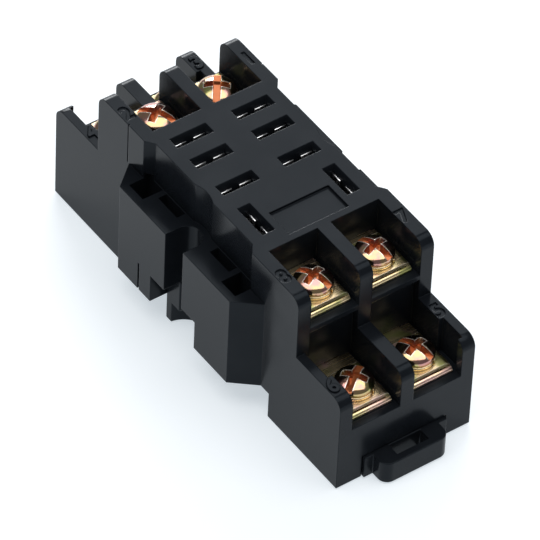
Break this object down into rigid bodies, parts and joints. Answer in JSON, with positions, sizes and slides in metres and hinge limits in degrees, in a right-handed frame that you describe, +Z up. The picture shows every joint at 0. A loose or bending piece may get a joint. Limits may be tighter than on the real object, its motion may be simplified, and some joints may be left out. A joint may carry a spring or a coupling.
{
  "type": "relay socket",
  "caption": "Low block socket for a plug-in relay: blade slots on a raised seat, stepped screw terminals at both ends, side wings and a sliding latch for a 35 mm rail.",
  "frame": {"origin": "middle of the rail channel, on the plane that the two terminal blocks stand on", "axes": "+X across the socket to its right side, +Y along it from the latch end to the other end, +Z up out of the relay seat"},
  "size_m": [0.0296, 0.0712, 0.0271],
  "materials": {
    "black_plastic": "satin moulded thermoplastic",
    "plated_brass": "bright plated strip",
    "tinned_bronze": "bright tin plating",
    "passivated_steel": "yellow iridescent zinc passivation"
  },
  "bodies": {
    "base": {"housing": "black_plastic", "base_plate": "black_plastic", "terminal_1": "plated_brass", "terminal_2": "plated_brass", "terminal_3": "plated_brass", "terminal_4": "plated_brass", "terminal_5": "plated_brass", "terminal_6": "plated_brass", "terminal_7": "plated_brass", "terminal_8": "plated_brass", "contact_clip_1": "tinned_bronze", "contact_clip_2": "tinned_bronze", "contact_clip_3": "tinned_bronze", "contact_clip_4": "tinned_bronze", "contact_clip_5": "tinned_bronze", "contact_clip_6": "tinned_bronze", "contact_clip_7": "tinned_bronze", "contact_clip_8": "tinned_bronze"},
    "latch": {"rail_latch": "black_plastic"},
    "clamp_1": {"clamp_washer_1": "passivated_steel", "spring_washer_1": "passivated_steel"},
    "screw_1": {"terminal_screw_1": "passivated_steel"},
    "clamp_2": {"clamp_washer_2": "passivated_steel", "spring_washer_2": "passivated_steel"},
    "screw_2": {"terminal_screw_2": "passivated_steel"},
    "clamp_3": {"clamp_washer_3": "passivated_steel", "spring_washer_3": "passivated_steel"},
    "screw_3": {"terminal_screw_3": "passivated_steel"},
    "clamp_4": {"clamp_washer_4": "passivated_steel", "spring_washer_4": "passivated_steel"},
    "screw_4": {"terminal_screw_4": "passivated_steel"},
    "clamp_5": {"clamp_washer_5": "passivated_steel", "spring_washer_5": "passivated_steel"},
    "screw_5": {"terminal_screw_5": "passivated_steel"},
    "clamp_6": {"clamp_washer_6": "passivated_steel", "spring_washer_6": "passivated_steel"},
    "screw_6": {"terminal_screw_6": "passivated_steel"},
    "clamp_7": {"clamp_washer_7": "passivated_steel", "spring_washer_7": "passivated_steel"},
    "screw_7": {"terminal_screw_7": "passivated_steel"},
    "clamp_8": {"clamp_washer_8": "passivated_steel", "spring_washer_8": "passivated_steel"},
    "screw_8": {"terminal_screw_8": "passivated_steel"}
  },
  "joints": [
    {"name": "latch_slide", "type": "slide", "parent": "base", "child": "latch", "axis": [0, -1, 0], "range_m": [0, 0.003]},
    {"name": "clamp_1_lift", "type": "slide", "parent": "base", "child": "clamp_1", "axis": [0, 0, 1], "range_m": [0, 0.0024]},
    {"name": "screw_1_turn", "type": "hinge", "parent": "clamp_1", "child": "screw_1", "pos_m": [0.00506, 0.0186, 0.02085], "axis": [0, 0, 1], "range_deg": [0, 1440]},
    {"name": "clamp_2_lift", "type": "slide", "parent": "base", "child": "clamp_2", "axis": [0, 0, 1], "range_m": [0, 0.0024]},
    {"name": "screw_2_turn", "type": "hinge", "parent": "clamp_2", "child": "screw_2", "pos_m": [-0.00506, 0.0186, 0.02085], "axis": [0, 0, 1], "range_deg": [0, 1440]},
    {"name": "clamp_3_lift", "type": "slide", "parent": "base", "child": "clamp_3", "axis": [0, 0, 1], "range_m": [0, 0.0024]},
    {"name": "screw_3_turn", "type": "hinge", "parent": "clamp_3", "child": "screw_3", "pos_m": [0.00506, 0.0288, 0.01025], "axis": [0, 0, 1], "range_deg": [0, 1440]},
    {"name": "clamp_4_lift", "type": "slide", "parent": "base", "child": "clamp_4", "axis": [0, 0, 1], "range_m": [0, 0.0024]},
    {"name": "screw_4_turn", "type": "hinge", "parent": "clamp_4", "child": "screw_4", "pos_m": [-0.00506, 0.0288, 0.01025], "axis": [0, 0, 1], "range_deg": [0, 1440]},
    {"name": "clamp_5_lift", "type": "slide", "parent": "base", "child": "clamp_5", "axis": [0, 0, 1], "range_m": [0, 0.0024]},
    {"name": "screw_5_turn", "type": "hinge", "parent": "clamp_5", "child": "screw_5", "pos_m": [0.00506, -0.0288, 0.01025], "axis": [0, 0, 1], "range_deg": [0, 1440]},
    {"name": "clamp_6_lift", "type": "slide", "parent": "base", "child": "clamp_6", "axis": [0, 0, 1], "range_m": [0, 0.0024]},
    {"name": "screw_6_turn", "type": "hinge", "parent": "clamp_6", "child": "screw_6", "pos_m": [-0.00506, -0.0288, 0.01025], "axis": [0, 0, 1], "range_deg": [0, 1440]},
    {"name": "clamp_7_lift", "type": "slide", "parent": "base", "child": "clamp_7", "axis": [0, 0, 1], "range_m": [0, 0.0024]},
    {"name": "screw_7_turn", "type": "hinge", "parent": "clamp_7", "child": "screw_7", "pos_m": [0.00506, -0.0186, 0.02085], "axis": [0, 0, 1], "range_deg": [0, 1440]},
    {"name": "clamp_8_lift", "type": "slide", "parent": "base", "child": "clamp_8", "axis": [0, 0, 1], "range_m": [0, 0.0024]},
    {"name": "screw_8_turn", "type": "hinge", "parent": "clamp_8", "child": "screw_8", "pos_m": [-0.00506, -0.0186, 0.02085], "axis": [0, 0, 1], "range_deg": [0, 1440]}
  ],
  "couplings": [
    {"joint": "screw_1_turn", "follows": "clamp_1_lift", "rad_per_m": 10472},
    {"joint": "screw_2_turn", "follows": "clamp_2_lift", "rad_per_m": 10472},
    {"joint": "screw_3_turn", "follows": "clamp_3_lift", "rad_per_m": 10472},
    {"joint": "screw_4_turn", "follows": "clamp_4_lift", "rad_per_m": 10472},
    {"joint": "screw_5_turn", "follows": "clamp_5_lift", "rad_per_m": 10472},
    {"joint": "screw_6_turn", "follows": "clamp_6_lift", "rad_per_m": 10472},
    {"joint": "screw_7_turn", "follows": "clamp_7_lift", "rad_per_m": 10472},
    {"joint": "screw_8_turn", "follows": "clamp_8_lift", "rad_per_m": 10472}
  ]
}
